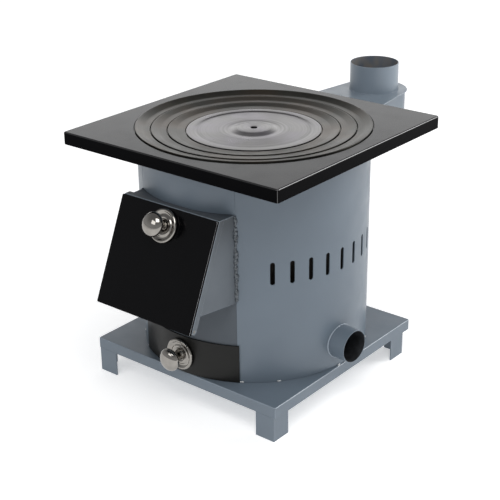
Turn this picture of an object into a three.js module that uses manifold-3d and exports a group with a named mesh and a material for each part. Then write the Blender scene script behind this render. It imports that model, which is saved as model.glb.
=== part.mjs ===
// A small wood-burning cooking stove: a round sheet-steel drum on a square tray with four angle feet,
// a square hob plate with three nested rings and a lid, a slanted fuel chute with a drop-down door,
// an ash drawer, a low air inlet tube and a flue box with a round pipe collar.
// Millimetres, +Z up, the front of the stove faces -Y. Heights are measured from the floor.
import * as THREE from 'three';
import { mergeVertices } from 'three/addons/utils/BufferGeometryUtils.js';
import Module from 'manifold-3d';

const wasm = await Module();
wasm.setup();

// ---------------------------------------------------------------- driving dimensions
const GAP = 0.3; // what two touching pieces keep between them

// hob plate, a folded pan turned upside down
const HOB_HEIGHT = 500;
const PLATE_SIZE = 500;
const PLATE_SHEET = 2.5;
const PLATE_SKIRT = 24;
const PLATE_CORNER = 4;
const PLATE_FOLD = 2;
const HOB_OPENING_RADIUS = 224;
const HOB_LEDGE_WIDTH = 12;

// nested rings and lid
const RING_RADII = [193.8, 162.8, 127.8]; // inner edge of the outer, middle and inner ring
const RING_NAMES = ['hob_ring_outer', 'hob_ring_middle', 'hob_ring_inner'];
const RING_SINK = 2; // the outer ring's edge below the hob plate
const RING_DROP = 3; // how far each ring falls towards the next
const RING_EDGE = 3.5; // thickness of a seated edge
const RING_LIP = 8.5;
const RING_SEAT = 8;
const RING_LEDGE = 3;
const RING_CLEARANCE = 0.9;
const RING_CHAMFER = 0.6;
const LID_THICKNESS = 4.5;
const LID_RIM = 17;
const LID_STEP = 1.2;
const LID_GROOVE_RADII = [78, 68, 58, 47];
const LID_GROOVE_DEPTH = 1;
const LID_BOSS_RADII = [33, 29];
const LID_BOSS_HEIGHT = 3.2;
const LID_BOSS_SHOULDER = 2.56;
const LIFTER_HOLE_RADIUS = 6.3;

// drum and what lines it
const DRUM_RADIUS = 219.5;
const DRUM_SHEET = 2;
const SLOT_COUNT = 10; // on each side
const SLOT_FIRST_ANGLE = 47; // degrees from straight ahead
const SLOT_PITCH_ANGLE = 9.55;
const SLOT_WIDTH = 9;
const SLOT_LENGTH = 44;
const SLOT_HEIGHT = 290;
const POT_RADIUS = 185;
const POT_SHEET = 3;
const POT_HEADROOM = 4;
const POT_BOTTOM = 150;
const POT_SEAT = 17;
const POT_RING_WIDTH = 28;
const GRATE_THICKNESS = 10;
const GRATE_RIM = 14;
const GRATE_BAR = 9;
const GRATE_SLOT = 9;
const GRATE_RIB = 12;
const GRATE_CLEARANCE = 1;

// base tray and feet
const BASE_SIZE = 444;
const BASE_HEIGHT = 71;
const BASE_SHEET = 2;
const BASE_SKIRT = 22;
const BASE_CORNER = 3;
const BASE_FOLD = 1.5;
const FOOT_WIDTH = 42;
const FOOT_SHEET = 3;
const FOOT_SIDE_INSET = 3;
const FOOT_REAR_INSET = 18;

// fuel chute
const CHUTE_WIDTH = 219;
const CHUTE_SHEET = 2;
const CHUTE_TOP = 403;
const CHUTE_FLOOR_HEIGHT = 233; // underside of the floor at CHUTE_FLOOR_REACH from the drum's axis
const CHUTE_FLOOR_REACH = 190;
const CHUTE_FLOOR_TILT = 7; // degrees, rising away from the fire
const CHUTE_SILL = 3;
const FRAME_SHEET = 3;
const FRAME_DEPTH = 12;

// fuel door, hung at its foot
const DOOR_LEAN = 23.6; // degrees from upright
const DOOR_TOP_REACH = 240; // drum axis to the door's outer face at its top edge
const DOOR_OVERLAP = 1.1; // how far the door's top edge stands above the mouth frame
const DOOR_SHEET = 2;
const DOOR_FLANGE = 5;
const DOOR_CORNER = 2.5;
const DOOR_KNOB_DROP = 34; // knob centre below the door's top edge
const HINGE_RISE = 8; // hinge pin above the door's lower edge
const HINGE_BELOW_FRAME = 20.7; // hinge pin down the slope from the frame's underside
const HINGE_PIN_RADIUS = 3;
const HINGE_BARREL_RADIUS = 5.5;
const HINGE_KNUCKLE_LENGTH = 40;
const HINGE_KNUCKLE_OFFSET = 62;
const HINGE_LEAF_LENGTH = 28;
const HINGE_LEAF_SHEET = 2;
const STOP_SHEET = 3;
const STOP_WIDTH = 50;
const STOP_OVERLAP = 4;

// ash drawer
const ASH_OPENING_WIDTH = 196;
const ASH_OPENING_TOP = 141;
const DRAWER_ANGLE = 31; // degrees to each side
const DRAWER_FRONT_SHEET = 3;
const DRAWER_FRONT_TOP = 147;
const TRAY_WIDTH = 190;
const TRAY_TOP = 136;
const TRAY_REAR = 110;
const TRAY_SHEET = 1.5;
const TRAY_CORNER = 3;
const RUNNER_SHEET = 2;
const RUNNER_FLANGE = 13;
const RUNNER_HEIGHT = 14;
const RUNNER_SIDE_CLEARANCE = 0.5;
const RUNNER_FRONT = 188;

// knobs
const KNOB_RADIUS = 22.3;
const KNOB_REACH = 44;
// from the rolled rim in to the hub: [radius, height above the face]
const ROSETTE_PROFILE = [[29, 0.3], [31, 2.8], [30.2, 5.6], [28, 7], [25, 5.95], [20, 3.5], [13, 2.45]];
// under the head, from the foot of the neck to the rim: [radius, height above the face]
const KNOB_PROFILE = [[11.15, 2.75], [9.4, 5.75], [7.6, 19], [11.15, 24], [19.2, 26], [20.1, 27.5]];
const KNOB_RIM = 31; // height of the head's widest place
const STUD_RADIUS = 3;
const STUD_CLEARANCE = 0.35;
const NUT_WIDTH = 10;
const NUT_THICKNESS = 5;

// air inlet tube
const AIR_TUBE_RADIUS = 32;
const AIR_TUBE_SHEET = 1.5;
const AIR_TUBE_ANGLE = 85; // degrees from straight ahead
const AIR_TUBE_REACH = 254;
const AIR_TUBE_HEIGHT = 121;
const AIR_TUBE_INSIDE = 6; // how far it runs into the drum

// flue box and collar
const FLUE_REACH = 404; // drum axis to the collar's axis
const FLUE_END_RADIUS = 66;
const FLUE_TAPER = 6.8; // degrees on each side
const FLUE_SHEET = 2;
const FLUE_BELOW_PLATE = 0.5; // top of the flue box below the hob plate's skirt
const FLUE_DEPTH = 88;
const FLUE_LID_LIP = 4;
const FLUE_PORT_INSET = 7;
const COLLAR_RADIUS = 50.5;
const COLLAR_SHEET = 1.5;
const COLLAR_HEIGHT = 57;

// ---------------------------------------------------------------- finishes
const finish = (color, roughness, metalness) =>
  new THREE.MeshStandardMaterial({ color, roughness, metalness });
const greyPaint = () => finish('#68727c', 0.42, 0.1);
const blackPaint = () => finish('#151517', 0.18, 0.1);
const charcoalPaint = () => finish('#2b2b2c', 0.35, 0.1);
const castIron = () => finish('#6c6a63', 0.45, 0.7);
const groundIron = () => finish('#94938f', 0.4, 0.8);
const nickel = () => finish('#c9c6bf', 0.12, 1);
const firedSteel = () => finish('#3c3a38', 0.75, 0.5);
const plainSteel = () => finish('#7d7c79', 0.45, 0.9);

// ---------------------------------------------------------------- geometry helpers
const radians = THREE.MathUtils.degToRad;
const WELD = 1e-4;

function toSolid(geometry) {
  const bare = geometry.clone();
  bare.deleteAttribute('normal');
  bare.deleteAttribute('uv');
  const welded = mergeVertices(bare, WELD);
  const corners = welded.index.array;
  const triangles = [];
  for (let i = 0; i < corners.length; i += 3) {
    const [a, b, c] = [corners[i], corners[i + 1], corners[i + 2]];
    if (a !== b && b !== c && c !== a) triangles.push(a, b, c);
  }
  return new wasm.Manifold(new wasm.Mesh({
    numProp: 3,
    vertProperties: Float32Array.from(welded.attributes.position.array),
    triVerts: Uint32Array.from(triangles),
  }));
}

function toGeometry(solid) {
  const mesh = solid.getMesh();
  const geometry = new THREE.BufferGeometry();
  geometry.setAttribute('position', new THREE.BufferAttribute(Float32Array.from(mesh.vertProperties), 3));
  geometry.setIndex(new THREE.BufferAttribute(Uint32Array.from(mesh.triVerts), 1));
  geometry.computeVertexNormals();
  return geometry;
}

function joined(...geometries) {
  return toGeometry(geometries.map(toSolid).reduce((sum, next) => sum.add(next)));
}

function cut(geometry, ...cutters) {
  return toGeometry(cutters.map(toSolid).reduce((rest, cutter) => rest.subtract(cutter), toSolid(geometry)));
}

function common(geometry, other) {
  return toGeometry(toSolid(geometry).intersect(toSolid(other)));
}

// a ring or turned piece: [radius, height] pairs around the outline, spun about the Z axis
function turned(outline, segments) {
  const points = outline.map(([radius, height]) => new THREE.Vector2(radius, height));
  const onAxis = points[0].x === 0 && points[points.length - 1].x === 0;
  if (!onAxis) points.push(points[0].clone());
  if (THREE.ShapeUtils.area(points) < 0) points.reverse();
  return new THREE.LatheGeometry(points, segments).rotateX(Math.PI / 2);
}

function tubeWall(outerRadius, sheet, low, high, segments) {
  const innerRadius = outerRadius - sheet;
  return turned([[innerRadius, low], [outerRadius, low], [outerRadius, high], [innerRadius, high]], segments);
}

function disc(radius, low, high, segments) {
  return turned([[0, low], [radius, low], [radius, high], [0, high]], segments);
}

function block(xRange, yRange, zRange) {
  const size = [xRange, yRange, zRange].map(([low, high]) => high - low);
  const middle = [xRange, yRange, zRange].map(([low, high]) => (low + high) / 2);
  return new THREE.BoxGeometry(...size).translate(...middle);
}

function prism(shape, low, high, curveSegments = 8) {
  return new THREE.ExtrudeGeometry(shape, { depth: high - low, bevelEnabled: false, curveSegments })
    .translate(0, 0, low);
}

function roundedRectangle(left, right, front, rear, radius) {
  const shape = new THREE.Shape();
  shape.absarc(right - radius, rear - radius, radius, 0, Math.PI / 2);
  shape.absarc(left + radius, rear - radius, radius, Math.PI / 2, Math.PI);
  shape.absarc(left + radius, front + radius, radius, Math.PI, 1.5 * Math.PI);
  shape.absarc(right - radius, front + radius, radius, 1.5 * Math.PI, 2 * Math.PI);
  shape.closePath();
  return shape;
}

function polygon(corners) {
  return new THREE.Shape(corners.map(([x, y]) => new THREE.Vector2(x, y)));
}

// a plate standing in a plane that holds the Z axis and points forward: its outline is given as
// [reach forward of the drum's axis, height], and it fills the given range across the stove
const FORWARD = new THREE.Matrix4().makeBasis(
  new THREE.Vector3(0, -1, 0),
  new THREE.Vector3(0, 0, 1),
  new THREE.Vector3(-1, 0, 0),
);
function sidePlate(corners, [left, right]) {
  return prism(polygon(corners), -right, -left).applyMatrix4(FORWARD);
}

// a sheet tray with its rim folded down and its upper edge rounded
function foldedPan({ size, top, skirt, sheet, corner, fold }) {
  const half = size / 2;
  const outline = roundedRectangle(-half, half, -half, half, corner);
  const outer = new THREE.ExtrudeGeometry(outline, {
    depth: skirt,
    bevelEnabled: true,
    bevelThickness: fold,
    bevelSize: fold,
    bevelOffset: -fold,
    bevelSegments: 2,
    curveSegments: FOLD_STEPS,
  }).translate(0, 0, top - skirt - fold);
  const inside = half - sheet;
  const innerPlan = roundedRectangle(-inside, inside, -inside, inside, corner - sheet / 2);
  const hollow = prism(innerPlan, top - 2 * skirt, top - sheet, FOLD_STEPS);
  const below = block([-size, size], [-size, size], [top - 3 * skirt, top - skirt]);
  return cut(outer, hollow, below);
}

// ---------------------------------------------------------------- sizes that follow from the above
const ROUND = 44; // facets around a large circle
const MIDDLE_ROUND = 40; // around a tube
const SMALL_ROUND = 16; // around a stud or a pin
const FOLD_STEPS = 3; // around a quarter of a sheet's corner
const DOME_STEPS = 4;
const drumInside = DRUM_RADIUS - DRUM_SHEET;
const hobLedgeTop = HOB_HEIGHT - RING_SINK - RING_EDGE - GAP;
const hobLedgeBottom = hobLedgeTop - PLATE_SHEET;
const drumTop = hobLedgeBottom - GAP;
const drumBottom = BASE_HEIGHT + GAP;
const outerRingTop = HOB_HEIGHT - RING_SINK;
const outerRingBottom = outerRingTop - RING_DROP - RING_EDGE - GAP - RING_LEDGE;
const potTop = outerRingBottom - POT_HEADROOM;
const chuteHalf = CHUTE_WIDTH / 2;
const frameHalf = chuteHalf + GAP + FRAME_SHEET;
const lean = radians(DOOR_LEAN);
const frameFront = DOOR_FLANGE + GAP; // behind the door's outer face
const frameRear = frameFront + FRAME_DEPTH;
const doorTopHeight = CHUTE_TOP + GAP + FRAME_SHEET + DOOR_OVERLAP;
const flueTop = HOB_HEIGHT - PLATE_SKIRT - FLUE_BELOW_PLATE;
const flueBottom = flueTop - FLUE_DEPTH;
const floorSlope = Math.tan(radians(CHUTE_FLOOR_TILT));
const floorRise = CHUTE_SHEET / Math.cos(radians(CHUTE_FLOOR_TILT)); // upright thickness of the sloping floor

// reach of the plane that lies `behind` the door's outer face, at a height
const mouthReach = (height, behind) =>
  DOOR_TOP_REACH - (behind + (height - doorTopHeight) * Math.sin(lean)) / Math.cos(lean);
// underside of the chute floor at a reach
const floorHeight = (reach) => CHUTE_FLOOR_HEIGHT + floorSlope * (reach - CHUTE_FLOOR_REACH);
// where a line parallel to the chute floor, `above` its underside, meets the plane `behind` the door
function floorCorner(above, behind) {
  const base = CHUTE_FLOOR_HEIGHT + above - floorSlope * CHUTE_FLOOR_REACH;
  const rise = Math.tan(lean);
  const reachAtZero = mouthReach(0, behind);
  const reach = (reachAtZero - rise * base) / (1 + rise * floorSlope);
  return [reach, base + floorSlope * reach];
}

// ---------------------------------------------------------------- base and feet
function basePlate() {
  return foldedPan({
    size: BASE_SIZE,
    top: BASE_HEIGHT,
    skirt: BASE_SKIRT,
    sheet: BASE_SHEET,
    corner: BASE_CORNER,
    fold: BASE_FOLD,
  });
}

// an angle foot with its corner at the origin; its flanges run along X and Y to the given sides
function footAngle(towardsX, towardsY) {
  const outline = [
    [0, 0], [FOOT_WIDTH, 0], [FOOT_WIDTH, FOOT_SHEET], [FOOT_SHEET, FOOT_SHEET], [FOOT_SHEET, FOOT_WIDTH],
    [0, FOOT_WIDTH],
  ];
  const placed = polygon(outline.map(([x, y]) => [x * towardsX, y * towardsY]));
  return prism(placed, 0, BASE_HEIGHT - BASE_SHEET - GAP);
}

// a front foot stands flush with the front skirt, so its front flange stops under the skirt's edge
function frontFoot(towardsX) {
  const skirtRoom = block(
    [-2 * FOOT_WIDTH, 2 * FOOT_WIDTH],
    [-FOOT_SHEET, FOOT_SHEET + GAP],
    [BASE_HEIGHT - BASE_SKIRT - GAP, BASE_HEIGHT],
  );
  return cut(footAngle(towardsX, 1), skirtRoom);
}

// ---------------------------------------------------------------- drum, liner and grate
function drumWall() {
  return tubeWall(DRUM_RADIUS, DRUM_SHEET, drumBottom, drumTop, 2 * ROUND);
}

// a slot with round ends, cut straight in towards the drum's axis
function slotCutter(angle) {
  const radius = SLOT_WIDTH / 2;
  const straight = SLOT_LENGTH / 2 - radius;
  const outline = new THREE.Shape();
  outline.absarc(0, straight, radius, 0, Math.PI);
  outline.absarc(0, -straight, radius, Math.PI, 2 * Math.PI);
  outline.closePath();
  return prism(outline, drumInside - DRUM_SHEET, DRUM_RADIUS + DRUM_SHEET, 2)
    .rotateX(Math.PI / 2)
    .translate(0, 0, SLOT_HEIGHT)
    .rotateZ(radians(angle));
}

// the air tube's outline, run right through the drum wall
function airTubeRoom() {
  const radius = AIR_TUBE_RADIUS + GAP;
  return new THREE.CylinderGeometry(radius, radius, DRUM_RADIUS / 2, MIDDLE_ROUND)
    .translate(0, -DRUM_RADIUS, AIR_TUBE_HEIGHT)
    .rotateZ(radians(AIR_TUBE_ANGLE));
}

// plan of the flue box, `inset` inside its walls: a round rear end with two sides that spread to the drum
function fluePlan(inset, low, high) {
  const taper = radians(FLUE_TAPER);
  const radius = FLUE_END_RADIUS - inset;
  const start = POT_RADIUS / 2;
  const sideX = radius * Math.cos(taper);
  const sideY = FLUE_REACH + radius * Math.sin(taper);
  const startX = sideX + (sideY - start) * Math.tan(taper);
  const outline = new THREE.Shape();
  outline.moveTo(startX, start);
  outline.lineTo(sideX, sideY);
  outline.absarc(0, FLUE_REACH, radius, taper, Math.PI - taper);
  outline.lineTo(-startX, start);
  outline.closePath();
  return prism(outline, low, high, 14);
}

function drumShell() {
  const front = chuteHalf + GAP;
  const seam = block([-front, front], [-2 * DRUM_RADIUS, 0], [0, HOB_HEIGHT]);
  const slots = [];
  for (let i = 0; i < SLOT_COUNT; i += 1) {
    const angle = SLOT_FIRST_ANGLE + i * SLOT_PITCH_ANGLE;
    slots.push(slotCutter(angle), slotCutter(-angle));
  }
  return cut(
    drumWall(),
    seam,
    ...slots,
    airTubeRoom(),
    fluePlan(-GAP, flueBottom - GAP, flueTop + GAP),
    fluePlan(-FLUE_LID_LIP - GAP, flueTop - FLUE_SHEET - GAP, flueTop + GAP),
  );
}

// the strip of drum between the chute's two sides
function frontStrip() {
  const strip = block([-chuteHalf, chuteHalf], [-2 * DRUM_RADIUS, -DRUM_RADIUS / 2], [0, HOB_HEIGHT]);
  return common(drumWall(), strip);
}

function frontPanelUpper() {
  return cut(frontStrip(), block([-PLATE_SIZE, PLATE_SIZE], [-PLATE_SIZE, PLATE_SIZE], [0, CHUTE_TOP + GAP]));
}

function frontPanelLower() {
  const underFloor = (reach) => floorHeight(reach) - GAP;
  const inner = 0;
  const outer = 2 * DRUM_RADIUS;
  const chuteRoom = sidePlate([
    [inner, underFloor(inner)], [outer, underFloor(outer)], [outer, 2 * HOB_HEIGHT], [inner, 2 * HOB_HEIGHT],
  ], [-DRUM_RADIUS, DRUM_RADIUS]);
  const ashHalf = ASH_OPENING_WIDTH / 2;
  const ashOpening = block([-ashHalf, ashHalf], [-outer, 0], [0, ASH_OPENING_TOP]);
  return cut(frontStrip(), chuteRoom, ashOpening);
}

// the pot's wall, open to the chute in front and to the flue box behind
function firePot() {
  const wall = tubeWall(POT_RADIUS, POT_SHEET, POT_BOTTOM, potTop, ROUND);
  const portHalf = chuteHalf - CHUTE_SHEET - CHUTE_SILL;
  const portLow = floorHeight(POT_RADIUS) + floorRise + CHUTE_SILL;
  const portHigh = CHUTE_TOP - CHUTE_SHEET - CHUTE_SILL;
  const fuelPort = block([-portHalf, portHalf], [-2 * POT_RADIUS, 0], [portLow, portHigh]);
  const smokePort = fluePlan(FLUE_PORT_INSET, flueBottom + FLUE_PORT_INSET, flueTop - FLUE_PORT_INSET);
  return cut(wall, fuelPort, smokePort);
}

// the ring round the pot's top edge by which it hangs
function potFlange() {
  const outer = drumInside - GAP;
  return tubeWall(outer, outer - POT_RADIUS - GAP, potTop - POT_SHEET, potTop, ROUND);
}

// the ring in the pot's lower end that carries the grate
function grateSeat() {
  return tubeWall(POT_RADIUS - POT_SHEET - GAP, POT_SEAT, POT_BOTTOM, POT_BOTTOM + POT_SHEET, ROUND);
}

function potSupportRing() {
  const outer = drumInside - GAP;
  const top = potTop - POT_SHEET - GAP;
  return tubeWall(outer, POT_RING_WIDTH, top - POT_SHEET, top, ROUND);
}

// a flat round casting: parallel bars inside a rim, tied by one rib across the middle
function grate() {
  const low = POT_BOTTOM + POT_SHEET + GAP;
  const high = low + GRATE_THICKNESS;
  const rim = POT_RADIUS - POT_SHEET - GRATE_CLEARANCE;
  const inside = rim - GRATE_RIM;
  const half = GRATE_SLOT / 2;
  const pitch = GRATE_BAR + GRATE_SLOT;
  const columns = Math.floor((inside - half) / pitch);
  const slots = [];
  for (let i = -columns; i <= columns; i += 1) {
    const x = i * pitch;
    const reach = Math.sqrt(inside ** 2 - (Math.abs(x) + half) ** 2);
    const across = [x - half, x + half];
    const through = [low - GRATE_BAR, high + GRATE_BAR];
    slots.push(block(across, [GRATE_RIB / 2, reach], through));
    slots.push(block(across, [-reach, -GRATE_RIB / 2], through));
  }
  return cut(disc(rim, low, high, ROUND), ...slots);
}

function airTube() {
  const length = AIR_TUBE_REACH - drumInside + AIR_TUBE_INSIDE;
  return tubeWall(AIR_TUBE_RADIUS, AIR_TUBE_SHEET, 0, length, MIDDLE_ROUND)
    .rotateX(Math.PI / 2)
    .translate(0, -(AIR_TUBE_REACH - length), AIR_TUBE_HEIGHT)
    .rotateZ(radians(AIR_TUBE_ANGLE));
}

// ---------------------------------------------------------------- fuel chute and its mouth frame
function potRoom() {
  return disc(POT_RADIUS + GAP, 0, HOB_HEIGHT, ROUND);
}

function chuteSide(towardsX) {
  const inner = POT_RADIUS / 2;
  const corners = [
    [inner, floorHeight(inner)],
    floorCorner(0, frameFront),
    [mouthReach(CHUTE_TOP, frameFront), CHUTE_TOP],
    [inner, CHUTE_TOP],
  ];
  const across = [chuteHalf - CHUTE_SHEET, chuteHalf].map((x) => x * towardsX).sort((a, b) => a - b);
  return cut(sidePlate(corners, across), potRoom());
}

function chuteRoof() {
  const inner = POT_RADIUS / 2;
  const half = chuteHalf - CHUTE_SHEET - GAP;
  const low = CHUTE_TOP - CHUTE_SHEET;
  return cut(sidePlate([
    [inner, low], [mouthReach(low, frameFront), low], [mouthReach(CHUTE_TOP, frameFront), CHUTE_TOP],
    [inner, CHUTE_TOP],
  ], [-half, half]), potRoom());
}

function chuteFloor() {
  const inner = POT_RADIUS / 2;
  const half = chuteHalf - CHUTE_SHEET - GAP;
  return cut(sidePlate([
    [inner, floorHeight(inner)], floorCorner(0, frameFront), floorCorner(floorRise, frameFront),
    [inner, floorHeight(inner) + floorRise],
  ], [-half, half]), potRoom());
}

// shapes in the door's own frame: X across, Y up the slope from the door's top edge, Z out of its face
const doorOrigin = new THREE.Matrix4()
  .makeTranslation(0, -DOOR_TOP_REACH, doorTopHeight)
  .multiply(new THREE.Matrix4().makeRotationX(Math.PI / 2 - lean));
const hingeSetback = frameFront + FRAME_DEPTH / 2;
const frameUnderside = -GAP - FRAME_SHEET; // from the underside of the chute floor
const frameUndersideHeight = floorCorner(frameUnderside, hingeSetback)[1];
const hingeDrop = HINGE_BELOW_FRAME
  + (doorTopHeight - frameUndersideHeight - hingeSetback * Math.sin(lean)) / Math.cos(lean);
const doorHeight = hingeDrop + HINGE_RISE; // along the slope

// a band of flat bar round the chute's mouth, whose sides run down to hold the hinge pin
function mouthFrame() {
  const top = CHUTE_TOP + GAP;
  const [inner, outer] = [0, 2 * DOOR_TOP_REACH];
  const between = [-chuteHalf - GAP, chuteHalf + GAP];
  const passage = sidePlate([
    [inner, floorHeight(inner) - GAP], [outer, floorHeight(outer) - GAP], [outer, top], [inner, top],
  ], between);
  const below = sidePlate([
    [inner, 0],
    [outer, 0],
    [outer, floorHeight(outer) + frameUnderside],
    [inner, floorHeight(inner) + frameUnderside],
  ], between);
  const above = block([-PLATE_SIZE, PLATE_SIZE], [-PLATE_SIZE, 0], [top + FRAME_SHEET, 2 * HOB_HEIGHT]);
  return cut(frameBar(), passage, below, above);
}

// the frame's side outline run right across: its foot is rounded about the hinge pin
function frameBar() {
  const outline = new THREE.Shape();
  const half = FRAME_DEPTH / 2;
  outline.moveTo(half, FRAME_DEPTH);
  outline.lineTo(-half, FRAME_DEPTH);
  outline.lineTo(-half, -hingeDrop);
  outline.absarc(0, -hingeDrop, half, Math.PI, 2 * Math.PI);
  outline.closePath();
  outline.holes.push(circle(0, -hingeDrop, HINGE_PIN_RADIUS + GAP));
  return prism(outline, -frameHalf, frameHalf, 8)
    .rotateY(Math.PI / 2)
    .translate(0, 0, -hingeSetback)
    .applyMatrix4(doorOrigin);
}

function circle(x, y, radius) {
  const path = new THREE.Path();
  path.absarc(x, y, radius, 0, 2 * Math.PI);
  return path;
}

function hingePin() {
  return new THREE.CylinderGeometry(HINGE_PIN_RADIUS, HINGE_PIN_RADIUS, 2 * frameHalf, SMALL_ROUND)
    .rotateZ(Math.PI / 2);
}

// a tab under the mouth that the opened door's lower edge comes up against
function doorStop() {
  const hinge = new THREE.Vector3(0, -hingeDrop, -hingeSetback).applyMatrix4(doorOrigin);
  const face = -hinge.y - HINGE_RISE - GAP;
  const back = face - STOP_SHEET;
  const top = (reach) => floorHeight(reach) + frameUnderside - GAP;
  const low = hinge.z - hingeSetback - STOP_OVERLAP;
  return sidePlate(
    [[back, low], [face, low], [face, top(face)], [back, top(back)]], [-STOP_WIDTH / 2, STOP_WIDTH / 2]);
}

// ---------------------------------------------------------------- fuel door, in the door's own frame
function doorPanel() {
  const half = frameHalf;
  const outline = roundedRectangle(-half, half, -doorHeight, 0, DOOR_CORNER);
  const inset = DOOR_SHEET;
  const inner = roundedRectangle(
    -half + inset, half - inset, -doorHeight + inset, -inset, DOOR_CORNER - inset / 2);
  const tray = prism(outline, -DOOR_FLANGE, 0, FOLD_STEPS);
  const hollow = prism(inner, -2 * DOOR_FLANGE, -DOOR_SHEET, FOLD_STEPS);
  const studHole = disc(STUD_RADIUS + STUD_CLEARANCE, -DOOR_FLANGE, DOOR_FLANGE, SMALL_ROUND)
    .translate(0, -DOOR_KNOB_DROP, 0);
  return cut(tray, hollow, studHole);
}

// a sheet leaf on the door's back whose lower end turns back and rolls round the pin
function doorKnuckle() {
  const leafFront = hingeSetback - DOOR_SHEET - GAP; // distances in front of the pin
  const outline = new THREE.Shape();
  const outer = HINGE_BARREL_RADIUS;
  outline.moveTo(0, -outer);
  outline.lineTo(leafFront, -outer);
  outline.lineTo(leafFront, HINGE_LEAF_LENGTH - outer);
  outline.lineTo(leafFront - HINGE_LEAF_SHEET, HINGE_LEAF_LENGTH - outer);
  outline.lineTo(leafFront - HINGE_LEAF_SHEET, -outer + HINGE_LEAF_SHEET);
  const touch = Math.acos((outer - HINGE_LEAF_SHEET) / outer);
  outline.absarc(0, 0, outer, -Math.PI / 2 + touch, 1.5 * Math.PI);
  outline.closePath();
  outline.holes.push(circle(0, 0, HINGE_PIN_RADIUS + GAP));
  const half = HINGE_KNUCKLE_LENGTH / 2;
  return prism(outline, -half, half, 8).rotateY(-Math.PI / 2);
}

// ---------------------------------------------------------------- knobs, turned about +Z from their seat
function rosette() {
  const hole = STUD_RADIUS + STUD_CLEARANCE;
  const [, low] = ROSETTE_PROFILE[0];
  const [, high] = ROSETTE_PROFILE[ROSETTE_PROFILE.length - 1];
  return turned([[hole, low], ...ROSETTE_PROFILE, [hole, high]], ROUND / 2);
}

// a mushroom knob on a slim neck, in one piece with the stud that runs back through `throughLength`
function knob(throughLength) {
  const [, neckFoot] = KNOB_PROFILE[0];
  const dome = [];
  for (let i = 0; i < DOME_STEPS; i += 1) {
    const angle = (i * Math.PI) / (2 * DOME_STEPS);
    const height = KNOB_RIM + (KNOB_REACH - KNOB_RIM) * Math.sin(angle);
    dome.push([KNOB_RADIUS * Math.cos(angle), height]);
  }
  return turned([
    [0, -throughLength],
    [STUD_RADIUS, -throughLength],
    [STUD_RADIUS, neckFoot],
    ...KNOB_PROFILE,
    ...dome,
    [0, KNOB_REACH],
  ], ROUND / 2);
}

function nut() {
  const outline = new THREE.Shape();
  const corner = NUT_WIDTH / Math.sqrt(3);
  for (let i = 0; i < 6; i += 1) {
    const angle = radians(60 * i);
    const point = [corner * Math.cos(angle), corner * Math.sin(angle)];
    if (i === 0) outline.moveTo(...point);
    else outline.lineTo(...point);
  }
  outline.closePath();
  outline.holes.push(circle(0, 0, STUD_RADIUS + STUD_CLEARANCE));
  return prism(outline, -NUT_THICKNESS, 0, 8);
}

// ---------------------------------------------------------------- ash drawer
const drawerInside = DRUM_RADIUS + GAP;
const drawerFace = drawerInside + DRAWER_FRONT_SHEET;
const runnerTop = BASE_HEIGHT + GAP + RUNNER_SHEET;
const trayBottom = runnerTop + GAP;
const drawerKnobHeight = (BASE_HEIGHT + DRAWER_FRONT_TOP) / 2;

function drawerStud(low, high) {
  return disc(STUD_RADIUS + STUD_CLEARANCE, low, high, SMALL_ROUND)
    .rotateX(Math.PI / 2)
    .translate(0, 0, drawerKnobHeight);
}

function drawerFront() {
  const half = radians(DRAWER_ANGLE);
  const straightAhead = -Math.PI / 2;
  const outline = new THREE.Shape();
  outline.absarc(0, 0, drawerFace, straightAhead - half, straightAhead + half);
  outline.absarc(0, 0, drawerInside, straightAhead + half, straightAhead - half, true);
  outline.closePath();
  const sheet = prism(outline, BASE_HEIGHT + 3 * GAP, DRAWER_FRONT_TOP, 14);
  return cut(sheet, drawerStud(DRUM_RADIUS / 2, 2 * DRUM_RADIUS));
}

// an open box whose front follows the curve of the drawer's face
function ashTray() {
  const plan = (inset) => {
    const half = TRAY_WIDTH / 2 - inset;
    const box = roundedRectangle(-half, half, -2 * DRUM_RADIUS, TRAY_REAR - inset, TRAY_CORNER - inset);
    return [box, DRUM_RADIUS - inset];
  };
  const body = (inset, low, high) => {
    const [box, radius] = plan(inset);
    return common(prism(box, low, high, 2), disc(radius, low, high, 3 * ROUND));
  };
  const hollow = body(TRAY_SHEET, trayBottom + TRAY_SHEET, TRAY_TOP + TRAY_SHEET);
  return cut(body(0, trayBottom, TRAY_TOP), hollow, drawerStud(DRUM_RADIUS / 2, 2 * DRUM_RADIUS));
}

// an angle rail on the base tray, with its upright flange outside the ash tray
function drawerRunner(towardsX) {
  const outside = TRAY_WIDTH / 2 + RUNNER_SIDE_CLEARANCE + RUNNER_SHEET;
  const inside = outside - RUNNER_FLANGE;
  const low = BASE_HEIGHT + GAP;
  const high = low + RUNNER_HEIGHT;
  const section = [
    [inside, low], [outside, low], [outside, high], [outside - RUNNER_SHEET, high],
    [outside - RUNNER_SHEET, runnerTop], [inside, runnerTop],
  ];
  const outline = polygon(section.map(([x, z]) => [x * towardsX, z]));
  return prism(outline, -TRAY_REAR, RUNNER_FRONT).rotateX(Math.PI / 2);
}

// ---------------------------------------------------------------- flue box and collar
function flueBoxWall() {
  const low = flueBottom + FLUE_SHEET + GAP;
  const high = flueTop - FLUE_SHEET - GAP;
  return cut(fluePlan(0, low, high), fluePlan(FLUE_SHEET, low - FLUE_SHEET, high + FLUE_SHEET), potRoom());
}

function flueBoxFloor() {
  return cut(fluePlan(0, flueBottom, flueBottom + FLUE_SHEET), potRoom());
}

function flueBoxLid() {
  const low = flueTop - FLUE_SHEET;
  const bore = COLLAR_RADIUS - COLLAR_SHEET;
  const port = disc(bore, low - FLUE_SHEET, flueTop + FLUE_SHEET, MIDDLE_ROUND).translate(0, FLUE_REACH, 0);
  return cut(fluePlan(-FLUE_LID_LIP, low, flueTop), potRoom(), port);
}

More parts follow.
